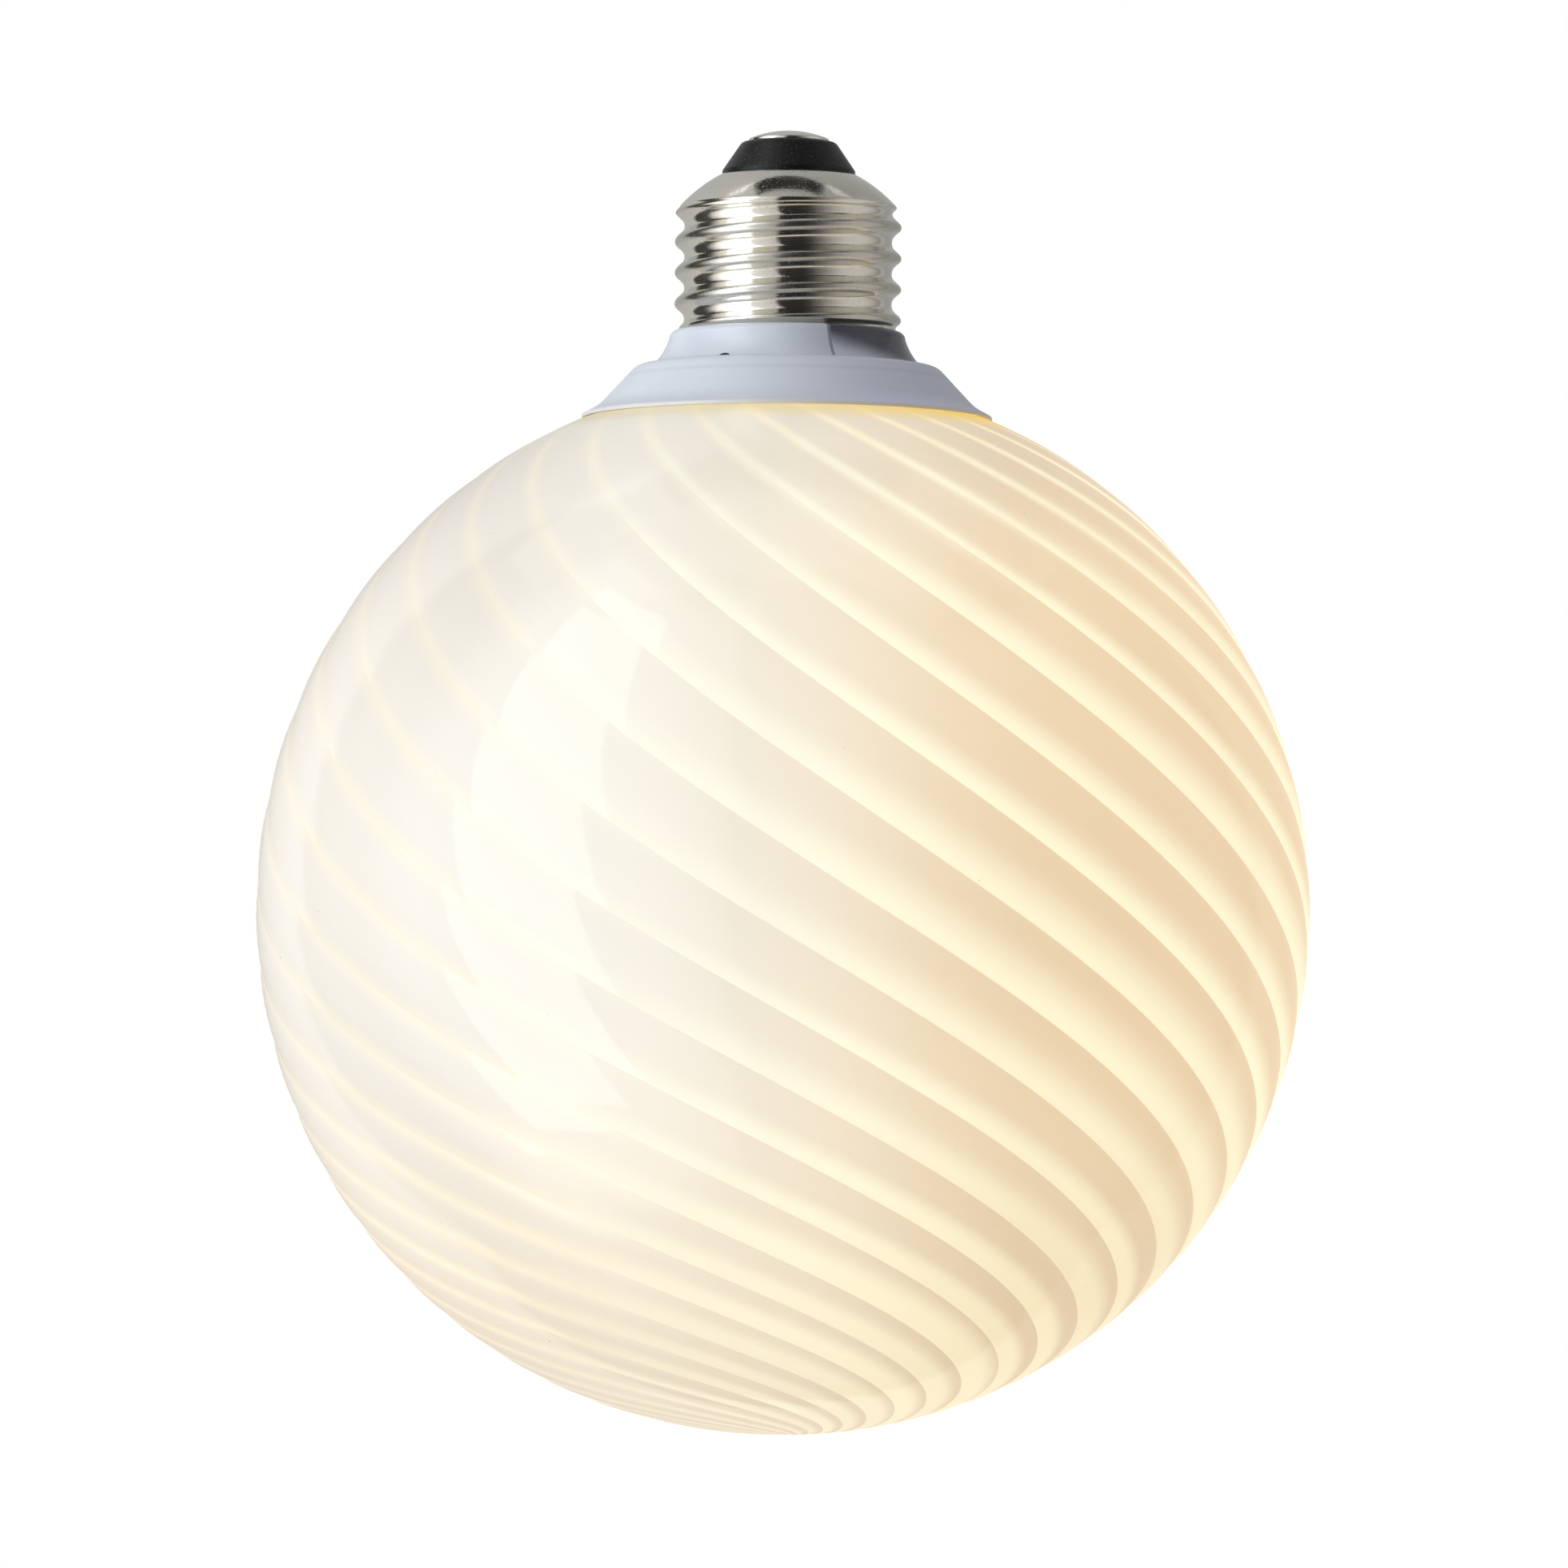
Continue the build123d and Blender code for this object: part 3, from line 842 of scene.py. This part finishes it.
class LEDBULB_OT_centre_contact(bpy.types.Operator):
    """Adds the domed centre contact of the cap"""

    bl_idname = "led_bulb.centre_contact"
    bl_label = "Centre Contact"

    def execute(self, context):
        bulb = settings()
        mesh = grid_mesh("contact_plate", turned(contact_outline(bulb.cap), CONTACT_COLUMNS), False)
        radius = radius_of("centre_contact")
        finish = nickel_finish("contact_nickel", tuple(bulb.colours.contact), 0.16, 0.9 * radius, 2.0 * radius)
        add_piece(mesh, "centre_contact", finish)
        return {"FINISHED"}


class LEDBULB_OT_insulator(bpy.types.Operator):
    """Adds the black insulator between the contact and the sleeve"""

    bl_idname = "led_bulb.insulator"
    bl_label = "Insulator"

    def execute(self, context):
        bulb = settings()
        mesh = grid_mesh("insulator_cone", turned(insulator_outline(bulb.cap), INSULATOR_COLUMNS), True)
        finish = insulator_finish(tuple(bulb.colours.insulator))
        add_piece(mesh, "insulator", finish)
        return {"FINISHED"}


class LEDBULB_OT_screw_sleeve(bpy.types.Operator):
    """Adds the threaded sleeve of the cap"""

    bl_idname = "led_bulb.screw_sleeve"
    bl_label = "Screw Sleeve"

    def execute(self, context):
        bulb = settings()
        mesh = grid_mesh("threaded_sleeve", sleeve_surface(bulb.cap, SLEEVE_COLUMNS), True)
        crest = radius_of("screw_sleeve")
        root = crest - bulb.cap.thread_depth
        finish = nickel_finish("sleeve_nickel", tuple(bulb.colours.nickel), 0.09, (root + crest) / 2, crest)
        add_piece(mesh, "screw_sleeve", finish)
        return {"FINISHED"}


class LEDBULB_OT_neck_housing(bpy.types.Operator):
    """Adds the glossy upper tier of the collar"""

    bl_idname = "led_bulb.neck_housing"
    bl_label = "Neck Housing"

    def execute(self, context):
        bulb = settings()
        mesh = grid_mesh("collar_housing", turned(housing_outline(bulb.collar), HOUSING_COLUMNS), True)
        finish = gloss_plastic(bulb.colours, bulb.collar, top_of("skirt_ring"))
        add_piece(mesh, "neck_housing", finish)
        return {"FINISHED"}


class LEDBULB_OT_skirt_ring(bpy.types.Operator):
    """Adds the satin lower tier of the collar"""

    bl_idname = "led_bulb.skirt_ring"
    bl_label = "Skirt Ring"

    def execute(self, context):
        bulb = settings()
        outline = skirt_outline(bulb.collar, bulb.globe)
        mesh = grid_mesh("collar_skirt", turned(outline, SKIRT_COLUMNS), True)
        finish = satin_plastic(bulb.colours, bulb.collar, top_of("skirt_ring"), foot_of("skirt_ring"))
        add_piece(mesh, "skirt_ring", finish)
        return {"FINISHED"}


class LEDBULB_OT_glass_globe(bpy.types.Operator):
    """Adds the opal globe with its swirl of bands"""

    bl_idname = "led_bulb.glass_globe"
    bl_label = "Glass Globe"

    def execute(self, context):
        bulb = settings()
        points, latitude = globe_grid(bulb.globe, GLOBE_ROWS, BAND_STEPS)
        mesh = grid_mesh("swirl_globe", points, False)
        mark_swirl(mesh, bulb.globe, latitude, BAND_STEPS)
        finish = opal_finish(bulb.colours, bulb.globe, foot_of("skirt_ring"))
        add_piece(mesh, "glass_globe", finish)
        return {"FINISHED"}


# Stage

def card_points(first, last, radius, foot, top):
    """Grid of an upright card curved round the bulb, from the first longitude to the last, in degrees.

    A point is at the radius times (sin, -cos) of its longitude, between the foot and the top.
    """
    longitude = np.radians(np.linspace(first, last, 40))
    height = np.linspace(top, foot, 3)[:, None]
    parts = np.broadcast_arrays(radius * np.sin(longitude), -radius * np.cos(longitude), height)
    return np.stack(parts, axis=-1)


def overhead_points(across, away, height):
    """Grid of a level card above the bulb, between two places across and two places away from the viewer."""
    x, y = np.linspace(*across, 5)[None, :], np.linspace(*reversed(away), 5)[:, None]
    return np.stack(np.broadcast_arrays(x, y, height), axis=-1)


def light_card(name, points, radiance, soft, lean=0.0, tone=(1.0, 1.0, 1.0)):
    """Card that adds light and hides nothing.

    It fades over three soft shares: of its width at its first and last columns, and of its height at both ends.
    A lean makes the light stronger towards the first column.
    """
    rows, columns = points.shape[:2]
    row, column = np.arange(rows - 1)[:, None], np.arange(columns - 1)[None, :]
    corner = row * columns + column
    quads = np.stack((corner, corner + 1, corner + columns + 1, corner + columns), axis=-1).reshape(-1, 4)
    mesh = bpy.data.meshes.new(name)
    mesh.from_pydata(points.reshape(-1, 3), [], quads)
    place = np.stack(np.broadcast_arrays(np.linspace(0, 1, columns), np.linspace(0, 1, rows)[:, None]), axis=-1)
    layer = mesh.uv_layers.new(name="card")
    layer.data.foreach_set("uv", place.reshape(-1, 2)[quads.ravel()].astype(np.float32).ravel())
    material, finish = new_material(name)
    card = finish.node("ShaderNodeUVMap", {"uv_map": "card"})
    u, v = (finish.node("ShaderNodeSeparateXYZ", {}, {0: card}, part) for part in range(2))
    first, last, ends = soft
    level = u.rise(0.0, first) * (1.0 - u).rise(0.0, last) * (0.5 - abs(v - 0.5)).rise(0.0, ends)
    level = level * (1.0 + lean * (0.5 - u))
    glow = finish.node("ShaderNodeEmission", {}, {"Color": finish.tint(tone, level), "Strength": radiance})
    clear = finish.node("ShaderNodeBsdfTransparent")
    surface = finish.node("ShaderNodeAddShader", {}, {0: glow, 1: clear})
    finish.node("ShaderNodeOutputMaterial", {}, {"Surface": surface})
    mesh.materials.append(material)
    card_object = bpy.data.objects.new(name, mesh)
    bpy.context.scene.collection.objects.link(card_object)
    card_object.visible_camera = False


def pale_floor(level):
    """Wide level floor, which the camera sees nearly white and which keeps a soft shadow."""
    half = 14.0
    corners = np.array(((-half, -half, level), (half, -half, level), (half, half, level), (-half, half, level)))
    mesh = bpy.data.meshes.new("floor")
    mesh.from_pydata(corners, [], [(0, 1, 2, 3)])
    material, finish = new_material("pale_floor")
    seen = finish.node("ShaderNodeLightPath", output="Is Camera Ray")
    pale_grey = (0.86, 0.86, 0.86, 1.0)
    paint = finish.node("ShaderNodeBsdfDiffuse", {}, {"Color": pale_grey})
    white = finish.node("ShaderNodeEmission", {}, {"Color": WHITE, "Strength": 1.0})
    white_share = 0.96
    surface = finish.node("ShaderNodeMixShader", {}, {0: seen * white_share, 1: paint, 2: white})
    finish.node("ShaderNodeOutputMaterial", {}, {"Surface": surface})
    mesh.materials.append(material)
    floor = bpy.data.objects.new("floor", mesh)
    bpy.context.scene.collection.objects.link(floor)


def studio_world(studio):
    """Dim room that the camera sees as white.

    Metal and glass mirror that white straight behind the bulb, where the backdrop stands, and else the room.
    """
    world = bpy.data.worlds.new("studio")
    bpy.context.scene.world = world
    finish = Finish(world)
    direction = finish.node("ShaderNodeTexCoord", output="Generated")
    away = finish.node("ShaderNodeSeparateXYZ", {}, {0: direction}, 1)
    backdrop = away.rise(math.cos(studio.backdrop), math.cos(studio.backdrop_core))
    rays = ("Is Camera Ray", "Is Glossy Ray", "Is Transmission Ray")
    camera, glossy, through = (finish.node("ShaderNodeLightPath", output=ray) for ray in rays)
    seen = camera + (glossy + through) * backdrop
    room = finish.node("ShaderNodeBackground", {}, {"Color": WHITE, "Strength": studio.ambient})
    white = finish.node("ShaderNodeBackground", {}, {"Color": WHITE, "Strength": 1.0})
    surface = finish.node("ShaderNodeMixShader", {}, {0: seen, 1: room, 2: white})
    finish.node("ShaderNodeOutputWorld", {}, {"Surface": surface})


def add_camera(studio):
    """Camera in front of the bulb's middle and a little below it, looking up at the middle."""
    middle = (CAD_BOX[0] + CAD_BOX[1]) / 2
    target = Vector((0.0, 0.0, middle.z - studio.aim_drop))
    data = bpy.data.cameras.new("camera")
    data.sensor_width = 36.0
    data.lens = studio.focal_length / MM
    data.clip_start, data.clip_end = 0.01, 100.0
    camera = bpy.data.objects.new("camera", data)
    bpy.context.scene.collection.objects.link(camera)
    camera.location = target + Vector((0.0, -studio.distance, -studio.distance * math.tan(studio.look_up)))
    camera.rotation_mode = "QUATERNION"
    aim = (target - camera.location).to_track_quat("-Z", "Y")
    camera.rotation_quaternion = aim @ Quaternion((0.0, 0.0, 1.0), studio.roll)
    bpy.context.scene.camera = camera


class LEDBULB_OT_stage(bpy.types.Operator):
    """Adds the floor, the light cards, the room and the camera"""

    bl_idname = "led_bulb.stage"
    bl_label = "Stage"

    def execute(self, context):
        studio = settings().studio
        context.scene.view_settings.view_transform = "Standard"
        pale_floor(studio.floor_level)
        key = card_points(-75.0, -41.0, 0.9, -0.95, 1.35)
        light_card("key_card", key, studio.key_light, (0.04, 0.04, 0.03), tone=(0.80, 0.90, 1.0))
        wall = card_points(-104.0, -8.0, 1.0, -2.3, 2.7)
        light_card("wall_card", wall, studio.wall_light, (0.29, 0.07, 0.22), lean=1.0)
        fill = card_points(16.0, 150.0, 0.9, -1.2, 1.2)
        light_card("fill_card", fill, studio.fill_light, (0.45, 0.45, 0.15), tone=(1.0, 0.98, 0.95))
        back = card_points(122.0, 236.0, 1.2, -1.2, 2.45)
        light_card("back_card", back, studio.back_light, (0.06, 0.06, 0.03), lean=-0.8)
        overhead = overhead_points((-1.0, 1.0), (-0.55, 0.25), 1.5)
        light_card("overhead_card", overhead, studio.overhead_light, (0.15, 0.15, 0.12), lean=1.0)
        ceilings = (("left_ceiling", (-1.3, -0.38), 1.3), ("right_ceiling", (0.40, 1.3), 0.8))
        for name, across, strength in ceilings:
            ceiling = overhead_points(across, (0.05, 0.75), 1.5)
            light_card(name, ceiling, strength * studio.ceiling_light, (0.1, 0.1, 0.2))
        side = card_points(-128.0, -88.0, 1.3, -1.2, 1.6)
        light_card("side_card", side, studio.side_light, (0.1, 0.1, 0.1))
        studio_world(studio)
        add_camera(studio)
        return {"FINISHED"}


STEPS = (
    LEDBULB_OT_centre_contact, LEDBULB_OT_insulator, LEDBULB_OT_screw_sleeve, LEDBULB_OT_neck_housing,
    LEDBULB_OT_skirt_ring, LEDBULB_OT_glass_globe, LEDBULB_OT_stage,
)


class LEDBULB_PT_bulb(bpy.types.Panel):
    """Lists the steps and settings of the bulb"""

    bl_idname = "LEDBULB_PT_bulb"
    bl_label = "LED Bulb"
    bl_space_type = "VIEW_3D"
    bl_region_type = "UI"
    bl_category = "LED Bulb"

    def draw(self, context):
        for step in STEPS:
            self.layout.operator(step.bl_idname)
        for group in BulbSettings.__annotations__:
            box = self.layout.box()
            box.label(text=group.title())
            values = getattr(settings(), group)
            for name in type(values).__annotations__:
                box.prop(values, name)


CLASSES = (
    CapSizes, CollarSizes, GlobeSizes, BulbColours, StudioSettings, BulbSettings, *STEPS, LEDBULB_PT_bulb
)


def register():
    for each in CLASSES:
        bpy.utils.register_class(each)
    bpy.types.Scene.led_bulb = PointerProperty(type=BulbSettings)


def unregister():
    del bpy.types.Scene.led_bulb
    for each in reversed(CLASSES):
        bpy.utils.unregister_class(each)


def main():
    """Registers the add-on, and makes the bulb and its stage."""
    register()
    bpy.ops.led_bulb.centre_contact()
    bpy.ops.led_bulb.insulator()
    bpy.ops.led_bulb.screw_sleeve()
    bpy.ops.led_bulb.neck_housing()
    bpy.ops.led_bulb.skirt_ring()
    bpy.ops.led_bulb.glass_globe()
    bpy.ops.led_bulb.stage()


if __name__ == "__main__":
    main()
